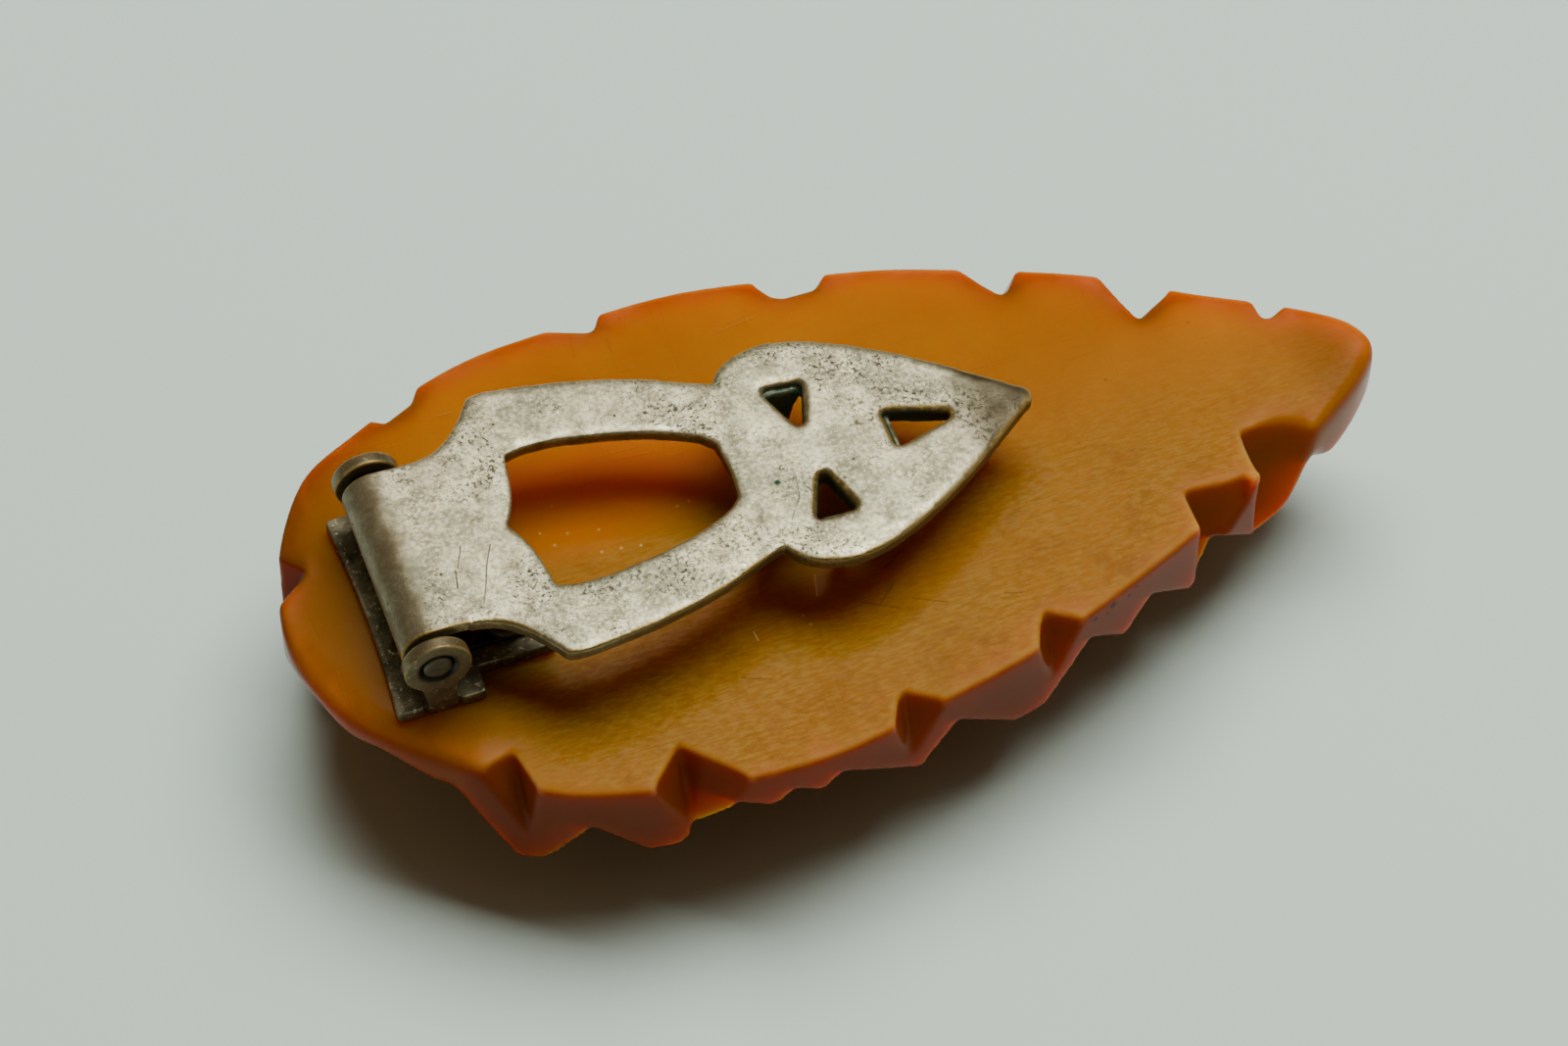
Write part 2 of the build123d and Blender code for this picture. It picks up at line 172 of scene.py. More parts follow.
# --------------------------------------------------------------- materials
class Nodes:
    """Small helper for building a node tree."""

    def __init__(self, name):
        self.mat = bpy.data.materials.new(name)
        self.mat.use_nodes = True
        self.t = self.mat.node_tree
        self.t.nodes.clear()
        self.out = self.t.nodes.new("ShaderNodeOutputMaterial")
        self.bsdf = self.t.nodes.new("ShaderNodeBsdfPrincipled")
        self.link(self.bsdf.outputs[0], self.out.inputs["Surface"])
        self.coord = self.t.nodes.new("ShaderNodeTexCoord").outputs["Object"]

    def link(self, a, b):
        self.t.links.new(a, b)

    def put(self, sock, v):
        if hasattr(v, "is_output") or isinstance(v, bpy.types.NodeSocket):
            self.link(v, sock)
        else:
            sock.default_value = v

    def mapped(self, scale=(1, 1, 1), rot=(0, 0, 0), loc=(0, 0, 0)):
        m = self.t.nodes.new("ShaderNodeMapping")
        m.inputs["Scale"].default_value = scale
        m.inputs["Rotation"].default_value = rot
        m.inputs["Location"].default_value = loc
        self.link(self.coord, m.inputs["Vector"])
        return m.outputs[0]

    def noise(self, scale, detail=3.0, rough=0.55, distort=0.0, vec=None):
        n = self.t.nodes.new("ShaderNodeTexNoise")
        n.inputs["Scale"].default_value = scale
        n.inputs["Detail"].default_value = detail
        n.inputs["Roughness"].default_value = rough
        n.inputs["Distortion"].default_value = distort
        self.link(vec if vec is not None else self.coord, n.inputs["Vector"])
        return n.outputs["Fac"]

    def voronoi(self, scale, vec=None, feature="F1", rand=1.0, out="Distance"):
        n = self.t.nodes.new("ShaderNodeTexVoronoi")
        n.feature = feature
        n.inputs["Scale"].default_value = scale
        n.inputs["Randomness"].default_value = rand
        self.link(vec if vec is not None else self.coord, n.inputs["Vector"])
        return n.outputs[out]

    def ramp(self, fac, stops, interp="LINEAR"):
        n = self.t.nodes.new("ShaderNodeValToRGB")
        n.color_ramp.interpolation = interp
        els = n.color_ramp.elements
        while len(els) < len(stops):
            els.new(0.5)
        for e, (p, col) in zip(els, stops):
            e.position = p
            e.color = (col, col, col, 1) if isinstance(col, (int, float)) else (*col, 1)
        self.link(fac, n.inputs[0])
        return n.outputs[0]

    def maprange(self, v, a, b, c=0.0, d=1.0, smooth=False):
        n = self.t.nodes.new("ShaderNodeMapRange")
        if smooth:
            n.interpolation_type = "SMOOTHSTEP"
        n.inputs["From Min"].default_value = a
        n.inputs["From Max"].default_value = b
        n.inputs["To Min"].default_value = c
        n.inputs["To Max"].default_value = d
        self.link(v, n.inputs["Value"])
        return n.outputs["Result"]

    def math(self, op, a, b=None, clamp=False):
        n = self.t.nodes.new("ShaderNodeMath")
        n.operation = op
        n.use_clamp = clamp
        self.put(n.inputs[0], a)
        if b is not None:
            self.put(n.inputs[1], b)
        return n.outputs[0]

    def mix(self, fac, a, b, blend="MIX"):
        n = self.t.nodes.new("ShaderNodeMix")
        n.data_type = "RGBA"
        n.blend_type = blend
        n.clamp_factor = True
        self.put(n.inputs["Factor"], fac)
        for key, v in (("A", a), ("B", b)):
            s = [i for i in n.inputs if i.name == key and i.type == "RGBA"][0]
            if isinstance(v, tuple):
                s.default_value = (*v, 1) if len(v) == 3 else v
            else:
                self.link(v, s)
        return [o for o in n.outputs if o.type == "RGBA"][0]

    def attr(self, name):
        n = self.t.nodes.new("ShaderNodeAttribute")
        n.attribute_name = name
        return n.outputs["Fac"]

    def axis(self, which):
        n = self.t.nodes.new("ShaderNodeSeparateXYZ")
        self.link(self.coord, n.inputs[0])
        return n.outputs[which]

    def bump(self, height, strength, dist, normal=None):
        n = self.t.nodes.new("ShaderNodeBump")
        n.inputs["Strength"].default_value = strength
        n.inputs["Distance"].default_value = dist
        self.link(height, n.inputs["Height"])
        if normal is not None:
            self.link(normal, n.inputs["Normal"])
        return n.outputs[0]

    def set(self, **kw):
        for k, v in kw.items():
            self.put(self.bsdf.inputs[k.replace("_", " ")], v)


def scratches(n, scale, stretch, angle, seed, width=0.06):
    """Fine straight scratches: a very stretched cell pattern."""
    v = n.mapped(scale=(stretch[0], stretch[1], 1.0), rot=(0, 0, angle), loc=(seed, seed * 0.37, 0))
    cell = n.voronoi(scale, vec=v, feature="DISTANCE_TO_EDGE")
    return n.maprange(cell, 0.0, width, 1.0, 0.0)


def near_line(n, p, q, width):
    """1 on a straight mark from p to q (u, v in mm from the hinge foot), 0 off it."""
    ax, ay = HX + p[0] * MM, HY + p[1] * MM
    dx, dy = (q[0] - p[0]) * MM, (q[1] - p[1]) * MM
    ll = dx * dx + dy * dy
    x = n.math("SUBTRACT", n.axis(0), ax)
    y = n.math("SUBTRACT", n.axis(1), ay)
    t = n.math("MULTIPLY", n.math("ADD", n.math("MULTIPLY", x, dx), n.math("MULTIPLY", y, dy)), 1.0 / ll, clamp=True)
    ex = n.math("SUBTRACT", x, n.math("MULTIPLY", t, dx))
    ey = n.math("SUBTRACT", y, n.math("MULTIPLY", t, dy))
    d = n.math("SQRT", n.math("ADD", n.math("MULTIPLY", ex, ex), n.math("MULTIPLY", ey, ey)))
    return n.maprange(d, width * 0.4 * MM, width * MM, 1.0, 0.0, True)


def near_spot(n, p, r0, r1):
    """1 inside r0, 0 outside r1, about the point p (u, v)."""
    x = n.math("SUBTRACT", n.axis(0), HX + p[0] * MM)
    y = n.math("SUBTRACT", n.axis(1), HY + p[1] * MM)
    d = n.math("SQRT", n.math("ADD", n.math("MULTIPLY", x, x), n.math("MULTIPLY", y, y)))
    return n.maprange(d, r0 * MM, r1 * MM, 1.0, 0.0, True)


def near_dot(n, p, r):
    """A round dot on a side wall, about (u, w)."""
    x = n.math("SUBTRACT", n.axis(0), HX + p[0] * MM)
    z = n.math("SUBTRACT", n.axis(2), BZ + p[1] * MM)
    d = n.math("SQRT", n.math("ADD", n.math("MULTIPLY", x, x), n.math("MULTIPLY", z, z)))
    return n.maprange(d, 0.6 * r * MM, r * MM, 1.0, 0.0, True)


def add_all(n, parts):
    out = parts[0]
    for p in parts[1:]:
        out = n.math("MAXIMUM", out, p)
    return out


WINDOW_DUST = ((6.83, 2.16), (7.97, 1.76), (7.24, 1.33), (9.33, 1.50), (9.07, 0.29), (9.94, 0.21), (10.80, 0.07), (12.99, 1.58), (13.57, 1.66))


def amber_material():
    n = Nodes("amber_resin")
    flat = n.attr("flatback")
    grow = n.noise(90.0, 3.0, 0.55, 0.6)                    # cloudy swirls, 10 mm
    fine = n.noise(420.0, 4.0, 0.6, 0.3)
    grain = n.noise(6000.0, 2.0, 0.65, 0.0, n.mapped(scale=(0.30, 1.0, 1.0)))
    base = n.ramp(grow, [(0.30, (0.30, 0.098, 0.0006)), (0.52, (0.345, 0.120, 0.0010)), (0.74, (0.385, 0.142, 0.0016))])
    base = n.mix(n.maprange(fine, 0.35, 0.75, 0.0, 0.25), base, (0.26, 0.078, 0.0006))
    # the near half is rubbed to a tan satin, the stem end is browner
    tan = n.math("MULTIPLY", n.attr("tan"), n.maprange(n.noise(140.0, 4.0, 0.6, 0.4), 0.25, 0.70, 0.62, 1.0))
    base = n.mix(tan, base, (0.250, 0.114, 0.0060))
    base = n.mix(n.math("MULTIPLY", n.math("MULTIPLY", tan, flat), n.maprange(grain, 0.42, 0.62, 0.0, 0.38)), base, (0.40, 0.220, 0.045))
    base = n.mix(n.math("MULTIPLY", n.math("MULTIPLY", tan, flat), n.maprange(n.noise(4200.0, 3.0, 0.6, 0.0, n.mapped(scale=(0.35, 1.0, 1.0))), 0.50, 0.64, 0.0, 0.25)), base, (0.140, 0.040, 0.0008))
    stain = n.maprange(n.noise(330.0, 5.0, 0.72, 0.5), 0.52, 0.68, 0.0, 0.55)
    base = n.mix(n.math("MULTIPLY", n.math("MULTIPLY", tan, flat), stain), base, (0.170, 0.056, 0.0025))
    base = n.mix(n.attr("stem"), base, (0.160, 0.056, 0.0010))
    # painted shade: the flat back is darker and redder towards the far rim and at the very tip
    base = n.mix(n.math("MULTIPLY", n.attr("painted_shade_far"), 0.75), base, (0.110, 0.034, 0.0003))
    # painted glow: a redder, brighter patch under the flap stands in for light glowing through the resin into the
    # flap's shadow
    base = n.mix(n.math("MULTIPLY", n.attr("painted_glow_under_flap"), 0.65), base, (0.56, 0.130, 0.0005))
    # pink blooms where the rim was buffed
    bloom = n.math("MULTIPLY", n.attr("rimzone"), n.maprange(n.noise(230.0, 3.0, 0.55, 0.4), 0.44, 0.62, 0.0, 0.55))
    base = n.mix(bloom, base, (0.36, 0.115, 0.028))
    # cut walls, notches and grooves are redder, and painted darker as shade where they face away from the light
    wall_shade = n.attr("wall_shade")
    base = n.mix(n.maprange(wall_shade, 0.0, 0.8, 0.0, 0.92, True), base, (0.140, 0.017, 0.0001))
    # painted shade in the creases and corners
    base = n.mix(n.math("MULTIPLY", n.attr("crease_shade"), 0.6), base, (0.105, 0.013, 0.0002))
    # painted highlight: the thin worn edges of the near rim get a pale line for the light they catch
    base = n.mix(n.math("MULTIPLY", n.attr("painted_rim_highlight"), n.maprange(n.noise(900.0, 3.0, 0.6), 0.30, 0.60, 0.45, 1.0)), base, (0.70, 0.38, 0.15))
    # painted shade along the far rim's top edge
    base = n.mix(n.math("MULTIPLY", n.attr("painted_shade_far_rim"), 0.90), base, (0.065, 0.014, 0.0001))
    # scratches, pits, dust and a few dark specks on one rim wall
    s1 = scratches(n, 150.0, (0.22, 5.0), math.radians(24), 0.3, 0.016)
    s2 = scratches(n, 130.0, (5.0, 0.20), math.radians(9), 0.8, 0.014)
    broken = n.maprange(n.noise(520.0, 2.0, 0.5), 0.50, 0.60)
    sc = n.math("MULTIPLY", n.math("MULTIPLY", n.math("MAXIMUM", s1, s2), broken), flat)
    base = n.mix(n.math("MULTIPLY", sc, 0.16), base, (0.12, 0.038, 0.0006))
    marks = add_all(n, [near_line(n, p, q, 0.045) for p, q in (
        ((20.4, -4.7), (21.6, -3.9)), ((19.6, -6.4), (20.5, -5.6)), ((21.0, -6.6), (22.4, -7.3)),
        ((18.9, -6.1), (20.3, -6.9)), ((24.9, -7.7), (25.6, -7.9)), ((12.6, -8.1), (13.8, -8.6)),
        ((27.6, 2.2), (28.3, 3.4)), ((5.4, -6.2), (6.0, -6.7)), ((-1.9, -4.6), (-0.4, -5.2)),
    )])
    base = n.mix(n.math("MULTIPLY", n.math("MULTIPLY", marks, flat), 0.5), base, (0.10, 0.030, 0.0005))
    pale = add_all(n, [near_line(n, p, q, 0.05) for p, q in (
        ((17.43, -4.0), (17.15, -5.1)), ((13.9, -6.0), (13.95, -6.5)),
    )])
    dust = n.maprange(n.voronoi(620.0), 0.0, 0.075, 1.0, 0.0)
    dust = n.math("MULTIPLY", dust, n.maprange(n.noise(300.0, 1.0, 0.5), 0.50, 0.60))
    motes = add_all(n, [near_spot(n, p, 0.03, 0.11) for p in WINDOW_DUST])
    pale = n.math("MAXIMUM", pale, motes)
    pale = n.math("MULTIPLY", n.math("MAXIMUM", pale, n.math("MULTIPLY", dust, n.attr("sheltered"))), flat)
    base = n.mix(n.math("MULTIPLY", pale, 0.6), base, (0.60, 0.36, 0.12))
    pits = n.math("MULTIPLY", n.maprange(n.voronoi(330.0, rand=1.0), 0.0, 0.045, 1.0, 0.0), flat)
    base = n.mix(n.math("MULTIPLY", pits, 0.8), base, (0.14, 0.035, 0.001))
    blots = add_all(n, [near_dot(n, p, r) for p, r in (
        ((28.3, -0.70), 0.16), ((29.0, -0.95), 0.11), ((29.3, -0.62), 0.20), ((30.2, -0.80), 0.12), ((30.6, -0.55), 0.10),
    )])
    base = n.mix(n.math("MULTIPLY", n.math("MULTIPLY", blots, n.attr("specks")), 0.95), base, (0.012, 0.003, 0.001))
    n.set(Base_Color=base)
    n.bsdf.subsurface_method = "RANDOM_WALK"
    n.set(Subsurface_Weight=0.95, Subsurface_Scale=0.0100)
    n.bsdf.inputs["Subsurface Radius"].default_value = (1.0, 0.22, 0.03)
    n.bsdf.inputs["IOR"].default_value = 1.55
    n.bsdf.inputs["Specular IOR Level"].default_value = 0.080
    n.bsdf.inputs["Specular Tint"].default_value = (1.0, 0.88, 0.62, 1.0)
    rough = n.maprange(n.noise(700.0, 3.0, 0.6), 0.3, 0.7, 0.14, 0.24)
    rough_back = n.math("ADD", n.maprange(n.noise(260.0, 4.0, 0.65), 0.3, 0.7, 0.11, 0.19), n.math("MULTIPLY", tan, 0.06))
    mixr = n.t.nodes.new("ShaderNodeMix"); mixr.data_type = "FLOAT"
    n.link(flat, mixr.inputs[0]); n.link(rough, mixr.inputs[2]); n.link(rough_back, mixr.inputs[3])
    n.set(Roughness=mixr.outputs[0])
    b = n.bump(n.noise(60.0, 2.0, 0.5), 0.10, 0.0003)
    b = n.bump(n.math("MULTIPLY", grain, n.math("MULTIPLY", tan, flat)), 0.20, 0.000012, b)
    b = n.bump(n.math("MAXIMUM", sc, n.math("MULTIPLY", marks, flat)), 0.30, -0.000015, b)
    n.set(Normal=b)
    return n.mat


def plated_material(name="worn_plate"):
    """Silvery plating gone speckled, brass showing along the edges."""
    n = Nodes(name)
    cloud = n.noise(170.0, 4.0, 0.62, 0.6)
    mid = n.noise(900.0, 5.0, 0.68, 0.2)
    tiny = n.noise(5200.0, 3.0, 0.7)
    col = n.ramp(mid, [(0.28, (0.24, 0.222, 0.132)), (0.42, (0.44, 0.414, 0.255)), (0.56, (0.74, 0.705, 0.435)), (0.70, (0.98, 0.945, 0.620))])
    # greenish grey clouds and rosy ones
    col = n.mix(n.maprange(cloud, 0.48, 0.62, 0.0, 0.62), col, (0.27, 0.285, 0.172))
    col = n.mix(n.maprange(n.noise(150.0, 3.0, 0.6, 0.3, n.mapped(loc=(0.031, 0.017, 0))), 0.52, 0.66, 0.0, 0.45), col, (0.62, 0.520, 0.340))
    col = n.mix(n.maprange(tiny, 0.52, 0.62, 0.0, 0.45), col, (0.95, 0.92, 0.68))
    col = n.mix(n.maprange(tiny, 0.48, 0.38, 0.0, 0.50), col, (0.17, 0.158, 0.095))
    # tarnish specks gather in patches
    patch = n.maprange(n.noise(210.0, 4.0, 0.62, 0.5, n.mapped(loc=(0.013, 0.041, 0))), 0.46, 0.60)
    speck = n.maprange(n.noise(6000.0, 2.0, 0.7), 0.552, 0.610)
    speck2 = n.maprange(n.noise(3000.0, 4.0, 0.75, 0.3), 0.575, 0.630)
    dark = n.math("MULTIPLY", n.math("MAXIMUM", speck, speck2), n.math("ADD", n.math("MULTIPLY", patch, 0.90), 0.06), clamp=True)
    dark = n.math("MAXIMUM", dark, n.math("MULTIPLY", n.attr("grime_and_gap_shade"), n.maprange(n.noise(2600.0, 4.0, 0.75), 0.42, 0.60, 0.0, 0.9)))
    col = n.mix(dark, col, (0.045, 0.043, 0.024))
    # dull brown at the heart's point and round the rim
    dull = n.math("MULTIPLY", n.attr("dull"), n.maprange(n.noise(800.0, 4.0, 0.65), 0.30, 0.62, 0.60, 1.0), clamp=True)
    col = n.mix(dull, col, (0.130, 0.104, 0.052))
    col = n.mix(n.math("MULTIPLY", n.attr("tipdull"), n.maprange(n.noise(650.0, 4.0, 0.65), 0.30, 0.60, 0.35, 0.95)), col, (0.050, 0.038, 0.016))
    edge = n.attr("edge")
    brass = n.math("MULTIPLY", n.maprange(edge, 0.06, 0.30, 0.0, 1.0, True), n.maprange(n.noise(500.0, 3.0, 0.6), 0.24, 0.46))
    brass = n.math("MULTIPLY", brass, n.attr("brass"), clamp=True)
    col = n.mix(brass, col, (0.30, 0.205, 0.052))
    # painted glints: near-white flecks along the sharpest edges
    glint = n.math("MULTIPLY", n.maprange(edge, 0.25, 0.6, 0.0, 1.0, True), n.maprange(n.noise(1900.0, 2.0, 0.6), 0.50, 0.62))
    col = n.mix(n.math("MULTIPLY", glint, 0.8), col, (0.90, 0.84, 0.62))
    wall = n.attr("wall")
    col = n.mix(n.math("MULTIPLY", wall, 0.85), col, (0.10, 0.076, 0.030))
    # green in the pierced holes and in one pit
    green = n.math("MULTIPLY", n.attr("verdigris"), n.maprange(n.noise(1400.0, 4.0, 0.7), 0.34, 0.54, 0.55, 1.0))
    pit = near_spot(n, (16.61, -1.41), 0.07, 0.20)
    halo = n.math("MULTIPLY", near_spot(n, (16.61, -1.41), 0.15, 0.75), n.maprange(mid, 0.40, 0.62))
    col = n.mix(n.math("MULTIPLY", halo, 0.55), col, (0.20, 0.235, 0.120))
    col = n.mix(n.math("MAXIMUM", n.math("MULTIPLY", green, 0.9, clamp=True), pit), col, (0.010, 0.055, 0.034))
    # two long hairline scratches, one bent, and a few short ones
    hair = add_all(n, [near_line(n, p, q, w) for p, q, w in (
        ((2.60, -0.46), (2.12, -1.60), 0.035), ((1.98, -1.72), (1.80, -2.62), 0.050),
        ((3.81, -0.80), (3.30, -1.90), 0.040), ((3.30, -1.90), (3.02, -2.75), 0.045), ((3.02, -2.75), (2.63, -3.71), 0.035),
        ((17.50, -1.30), (17.25, -2.50), 0.022), ((17.25, -2.50), (16.53, -3.53), 0.022),
        ((22.3, -2.9), (23.6, -1.9), 0.018), ((11.9, 5.0), (13.2, 5.3), 0.018), ((8.8, -5.9), (9.9, -5.2), 0.018),
    )])
    col = n.mix(n.math("MULTIPLY", hair, 0.85), col, (0.075, 0.068, 0.045))
    spots = add_all(n, [near_spot(n, p, r * 0.5, r) for p, r in (
        ((11.08, 4.26), 0.10), ((12.40, 4.01), 0.12), ((1.35, -1.7), 0.11), ((5.9, 5.4), 0.08), ((20.2, -1.2), 0.09),
    )])
    col = n.mix(n.math("MULTIPLY", spots, 0.9), col, (0.05, 0.045, 0.03))
    n.set(Base_Color=col)
    met = n.math("SUBTRACT", 0.88, n.math("MULTIPLY", n.math("MAXIMUM", n.math("MAXIMUM", dark, green), n.math("MULTIPLY", dull, 0.5)), 0.65), clamp=True)
    n.set(Metallic=met)
    r = n.maprange(mid, 0.3, 0.7, 0.42, 0.30)
    r = n.math("ADD", r, n.math("MULTIPLY", dark, 0.25))
    n.set(Roughness=r)
    b = n.bump(n.noise(300.0, 3.0, 0.55), 0.16, 0.00012)
    b = n.bump(mid, 0.22, 0.000030, b)
    b = n.bump(tiny, 0.35, 0.000014, b)
    b = n.bump(n.math("SUBTRACT", 1.0, n.math("MAXIMUM", n.math("MAXIMUM", dark, hair), pit)), 0.35, 0.000018, b)
    n.set(Normal=b)
    return n.mat


def dark_sheet_material():
    """Brass sheet tarnished grey-green, yellow where it rubs."""
    n = Nodes("tarnished_brass")
    a = n.noise(700.0, 5.0, 0.7, 0.4)
    c = n.noise(2400.0, 4.0, 0.7)
    col = n.ramp(a, [(0.32, (0.035, 0.031, 0.016)), (0.50, (0.125, 0.112, 0.060)), (0.64, (0.24, 0.220, 0.125)), (0.78, (0.42, 0.385, 0.240))])
    col = n.mix(n.maprange(c, 0.48, 0.68, 0.0, 0.55), col, (0.20, 0.186, 0.115))
    col = n.mix(n.maprange(n.noise(3600.0, 3.0, 0.7), 0.60, 0.68, 0.0, 0.9), col, (0.62, 0.580, 0.400))
    edge = n.maprange(n.attr("edge"), 0.08, 0.40, 0.0, 1.0, True)
    ear = n.attr("brass")
    yellow = n.math("MULTIPLY", n.math("MULTIPLY", edge, ear), n.maprange(n.noise(600.0, 3.0, 0.6), 0.36, 0.58))
    col = n.mix(n.math("MULTIPLY", ear, 0.65), col, (0.115, 0.084, 0.036))
    col = n.mix(yellow, col, (0.48, 0.335, 0.095))
    # painted shade: near black in the gap round the pin end, with some grime
    col = n.mix(n.math("MULTIPLY", n.attr("grime_and_gap_shade"), 0.92), col, (0.012, 0.010, 0.006))
    n.set(Base_Color=col, Metallic=0.60)
    n.set(Roughness=n.maprange(a, 0.3, 0.75, 0.50, 0.32))
    b = n.bump(a, 0.30, 0.00006)
    b = n.bump(c, 0.40, 0.00002, b)
    n.set(Normal=b)
    return n.mat


def steel_material(name, lo, hi, rough):
    n = Nodes(name)
    a = n.noise(1100.0, 4.0, 0.65, 0.3)
    col = n.ramp(a, [(0.30, lo), (0.70, hi)])
    n.set(Base_Color=col, Metallic=0.9)
    n.set(Roughness=n.maprange(n.noise(2500.0, 3.0, 0.6), 0.3, 0.7, rough[0], rough[1]))
    n.set(Normal=n.bump(n.noise(2600.0, 3.0, 0.6), 0.3, 0.00002, n.bump(a, 0.2, 0.00005)))
    return n.mat


AMBER = amber_material()
PLATE = plated_material()
DARK = dark_sheet_material()
PIN = steel_material("dull_pin", (0.045, 0.042, 0.028), (0.13, 0.120, 0.078), (0.35, 0.55))
SPRING = steel_material("black_spring", (0.015, 0.013, 0.009), (0.07, 0.062, 0.042), (0.30, 0.5))

# --------------------------------------------------------------- leaf body
ease = lambda x: np.clip(x, 0, 1) ** 2 * (3.0 - 2.0 * np.clip(x, 0, 1))
leaf = remeshed("leaf_body", "carved_leaf", 0.00013, 2)
me = leaf.data
co, no, ed = mesh_arrays(me)
u = (co[:, 0] - HX) / MM
v = (co[:, 1] - HY) / MM
w = (co[:, 2] - BZ) / MM
below = np.clip(-w / 2.0, 0, 1)
co = smooth(co, ed, 8, 0.5, 0.30 + 0.25 * below)
# the blunt near end and the near side of the tip are rubbed to a wide round
blunt = ease((1.2 - u) / 1.6) * ease((1.2 - v) / 2.4)
point = ease((u - 38.5) / 3.0) * ease((1.6 - v) / 3.0)
soft = np.maximum(blunt, point)
co = smooth(co, ed, 70, 0.5, np.clip(soft * (0.35 + 0.65 * ease((w + 3.5) / 1.5)), 0, 1))
me.vertices.foreach_set("co", co.ravel()); me.update()
co, no, ed = mesh_arrays(me)
u = (co[:, 0] - HX) / MM
v = (co[:, 1] - HY) / MM
w = (co[:, 2] - BZ) / MM
k = curvature(me, 3)
edge = np.clip(k * 3.5 - 0.10, 0, 1)
cav = np.clip(-curvature(me, 5) * 3.0, 0, 1)
fl = smooth_value(((no[:, 2] > 0.90) & (w > -0.5)).astype(float), ed, 3)
attribute(me, "flatback", fl)
top_edge = edge * (w > -0.45) * (1.0 - 0.8 * soft)
# painted highlight along the near rim's top edge
attribute(me, "painted_rim_highlight", smooth_value(top_edge * (v < 0), ed, 1))
# painted shade along the far rim's top edge
attribute(me, "painted_shade_far_rim", np.clip(smooth_value(top_edge * (v >= 0), ed, 6) * 2.5, 0, 1))
# painted shade in the creases and corners, off the flat back
attribute(me, "crease_shade", smooth_value(cav * (1.0 - fl), ed, 3))
# painted shade on the steep walls that face away from the light
wall_shade = np.clip(1.0 - fl, 0, 1) * np.clip((0.75 - no[:, 2]) / 0.5, 0, 1)
attribute(me, "wall_shade", smooth_value(np.clip(wall_shade * (1.0 - 0.5 * soft), 0, 1), ed, 4))
# how near a flat point is to the rim, spread inward from the walls
rimzone = smooth_value((1.0 - (fl > 0.5)).astype(float), ed, 90)
attribute(me, "rimzone", np.clip(rimzone * 3.0, 0, 1) * fl)
tan = ease((5.0 - v) / 9.0) * ease((u + 2.0) / 7.0)
# painted shade mask: the flat back near the far rim, and the very tip
attribute(me, "painted_shade_far", np.clip(np.maximum(np.clip(rimzone * 3.0, 0, 1) * ease((v + 1.0) / 4.0), 0.60 * ease((u - 40.5) / 3.0)), 0, 1))
# painted glow mask: under the flap's window, and weaker under the heart's near lobe
attribute(me, "painted_glow_under_flap", np.clip(np.maximum(1.25 - np.hypot((u - 9.0) / 7.0, (v - 3.6) / 3.0), 0.25 * (1.25 - np.hypot((u - 18.5) / 6.5, (v + 4.6) / 2.6))) * 1.6, 0, 1) * fl)
attribute(me, "tan", np.clip(tan, 0, 1))
attribute(me, "stem", ease((5.0 - u) / 8.0) * 0.85)
attribute(me, "sheltered", ((np.hypot((u - 9.5) / 6.5, (v - 0.5) / 4.2) < 1) | (np.hypot((u - 14.0) / 6.0, (v + 6.0) / 2.5) < 1)).astype(float))
attribute(me, "specks", smooth_value(((u > 27.9) & (u < 31.6) & (v < -7.9) & (w > -1.5) & (w < -0.25)).astype(float), ed, 2))
me.materials.append(AMBER)
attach(leaf, "brooch"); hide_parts("leaf_body")


# --------------------------------------------------------------- clip flap
flap = remeshed("clip_flap", "clip_flap_sheet", 0.00007, 2)
me = flap.data
co, no, ed = mesh_arrays(me)
u = (co[:, 0] - HX) / MM
v = (co[:, 1] - HY) / MM
w = (co[:, 2] - BZ) / MM
slope = math.tan(math.radians(2.2))
side = (np.abs(no[:, 2]) < 0.55).astype(float)
cut = smooth_value(side, ed, 40) * (u > 1.8)
lip = smooth_value(side, ed, 12)
pierced = np.zeros(len(co))
for (hu, hv) in ((18.5, 3.2), (18.5, -3.2), (22.9, 0.2)):
    pierced = np.maximum(pierced, np.clip(2.6 - np.hypot(u - hu, v - hv), 0, 1))
heart = ease((u - 15.5) / 2.0)
# only the sheet is dished: the teeth below it keep their gap to the leaf
sheet = np.clip(1.0 - ((4.45 - slope * u) - w - 0.65) / 0.7, 0, 1)
co[:, 2] -= MM * sheet * (cut * (0.14 + 0.12 * heart) + 0.30 * lip * np.clip(pierced * 1.5, 0, 1))
me.vertices.foreach_set("co", co.ravel()); me.update()
co, no, ed = mesh_arrays(me)
attribute(me, "edge", np.clip(curvature(me, 3) * 3.2, 0, 1))
near = np.clip(0.55 - v / 9.0, 0, 1)
outer = smooth_value((np.abs(no[:, 2]) < 0.55).astype(float), ed, 30)
point = ease((u - 24.8) / 2.8)
attribute(me, "dull", np.clip(point * 0.95 + ease((u - 18) / 6.0) * outer * 2.6 + ease((0.55 - u) / 0.7) * 0.95 + 0.35 * outer, 0, 1))
attribute(me, "tipdull", np.clip(ease((u - 24.6) / 2.6) + ease((u - 18.0) / 7.0) * outer * 1.6, 0, 1))
attribute(me, "grime_and_gap_shade", np.clip(ease(1.0 - np.abs(u - 0.35) / 0.55) * 0.55 + 0.35 * ease((0.5 - u) / 1.2), 0, 1))
tipward = np.clip((u - 12) / 12, 0, 1)
attribute(me, "brass", np.clip(0.20 + 0.75 * near + 0.7 * tipward, 0, 1))
wall = np.clip(1.0 - np.abs(no[:, 2]) * 1.6, 0, 1) * (u > 1.6)
attribute(me, "wall", smooth_value(wall, ed, 3))
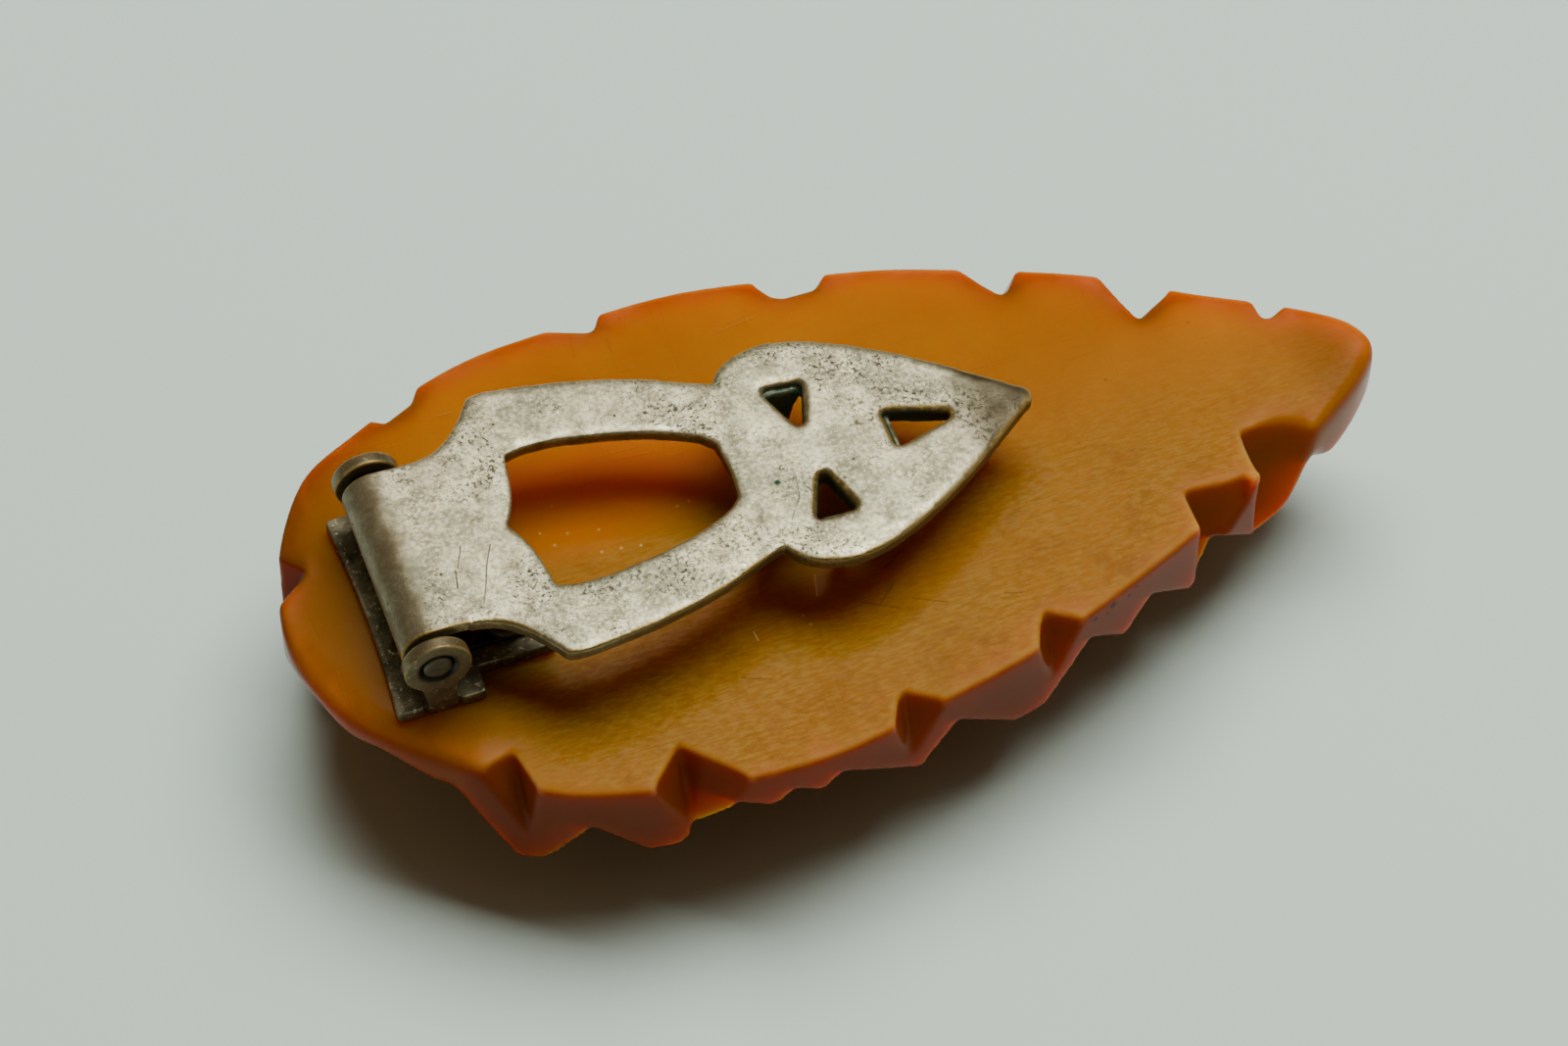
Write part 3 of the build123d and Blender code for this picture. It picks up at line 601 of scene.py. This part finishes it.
# verdigris around the pierced holes and in a pit
green = np.zeros(len(co))
for (hu, hv, r) in ((18.5, 3.2, 1.5), (18.5, -3.2, 1.3), (22.9, 0.2, 1.4)):
    d = np.hypot(u - hu, v - hv)
    green = np.maximum(green, np.clip((1.6 * r - d) / (0.6 * r), 0, 1) * np.clip((0.75 - no[:, 2]) * 2.5, 0, 1))
    depth = (4.45 - slope * u) - w
    green = np.maximum(green, np.clip((1.7 * r - d) / (0.4 * r), 0, 1) * np.clip((depth - 0.10) / 0.07, 0, 1))
w = (co[:, 2] - BZ) / MM
under = (no[:, 2] < -0.5).astype(float)
attribute(me, "verdigris", np.clip(green + 0.25 * under, 0, 1))
me.materials.append(PLATE)
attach(flap, "flap"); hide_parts("clip_flap")

# -------------------------------------------------------------- hinge base
base = remeshed("hinge_base", "hinge_base_plate", 0.00006, 2)
me = base.data
co, no, ed = mesh_arrays(me)
w = (co[:, 2] - BZ) / MM
attribute(me, "edge", np.clip(curvature(me, 5) * 3.2, 0, 1))
attribute(me, "brass", np.clip((w - 1.2) / 0.8, 0, 1))
u = (co[:, 0] - HX) / MM
rp = np.hypot(u, w - 3.12)
# painted shade mask: a ring round the pin end, for the gap between pin and ear hole
attribute(me, "grime_and_gap_shade", np.clip((1.02 - rp) / 0.16, 0, 1))
me.materials.append(DARK)
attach(base, "brooch"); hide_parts("hinge_base")

for node, name, mat, slot, vox in (
    ("hinge_pin", "hinge_pin_wire", PIN, "pin_metal", 0.00006),
    ("flat_spring", "flat_spring_strip", SPRING, "spring_steel", 0.00005),
    ("drive_pins", "drive_pin_nails", PIN, "pin_metal", 0.00006),
):
    ob = remeshed(node, name, vox, 2)
    ob.data.materials.append(mat)
    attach(ob, "brooch"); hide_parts(node)

# ------------------------------------------------------------------- floor
bm = bmesh.new()
bmesh.ops.create_grid(bm, x_segments=8, y_segments=8, size=1.2)
fme = bpy.data.meshes.new("floor"); bm.to_mesh(fme); bm.free()
floor = bpy.data.objects.new("floor", fme)
bpy.context.scene.collection.objects.link(floor)
n = Nodes("pale_paper")
n.set(Base_Color=n.ramp(n.noise(3.0, 2.0, 0.5), [(0.3, (0.545, 0.70, 0.63)), (0.7, (0.585, 0.72, 0.65))]))
n.set(Roughness=0.55)
n.set(Normal=n.bump(n.noise(1800.0, 3.0, 0.6), 0.12, 0.00003))
fme.materials.append(n.mat)


# ------------------------------------------------------------------ lights
def area(name, loc, target, size, energy, color=(1, 1, 1), size_y=None):
    d = bpy.data.lights.new(name, "AREA")
    d.energy = energy
    d.color = color
    d.shape = "RECTANGLE"
    d.size = size
    d.size_y = size_y or size
    o = bpy.data.objects.new(name, d)
    bpy.context.scene.collection.objects.link(o)
    o.location = loc
    o.rotation_euler = (Vector(target) - Vector(loc)).to_track_quat("-Z", "Y").to_euler()
    return o


world = bpy.data.worlds.new("soft_room")
bpy.context.scene.world = world
world.use_nodes = True
bg = world.node_tree.nodes["Background"]
bg.inputs[0].default_value = (1.0, 0.60, 0.34, 1)
bg.inputs[1].default_value = 0.12
area("window_soft", (0.126, 0.163, 0.51), (0, 0, 0), 0.50, 5.2, (1.0, 0.99, 0.95), 0.34).visible_glossy = False
sky = area("ceiling_soft", (0.22, 0.0450, 0.50), (0.22, 0.0450, 0.0), 0.40, 3.1, (1.0, 1.0, 0.98), 0.615)
sky.rotation_euler = (0, 0, 0)
sky.visible_diffuse = False
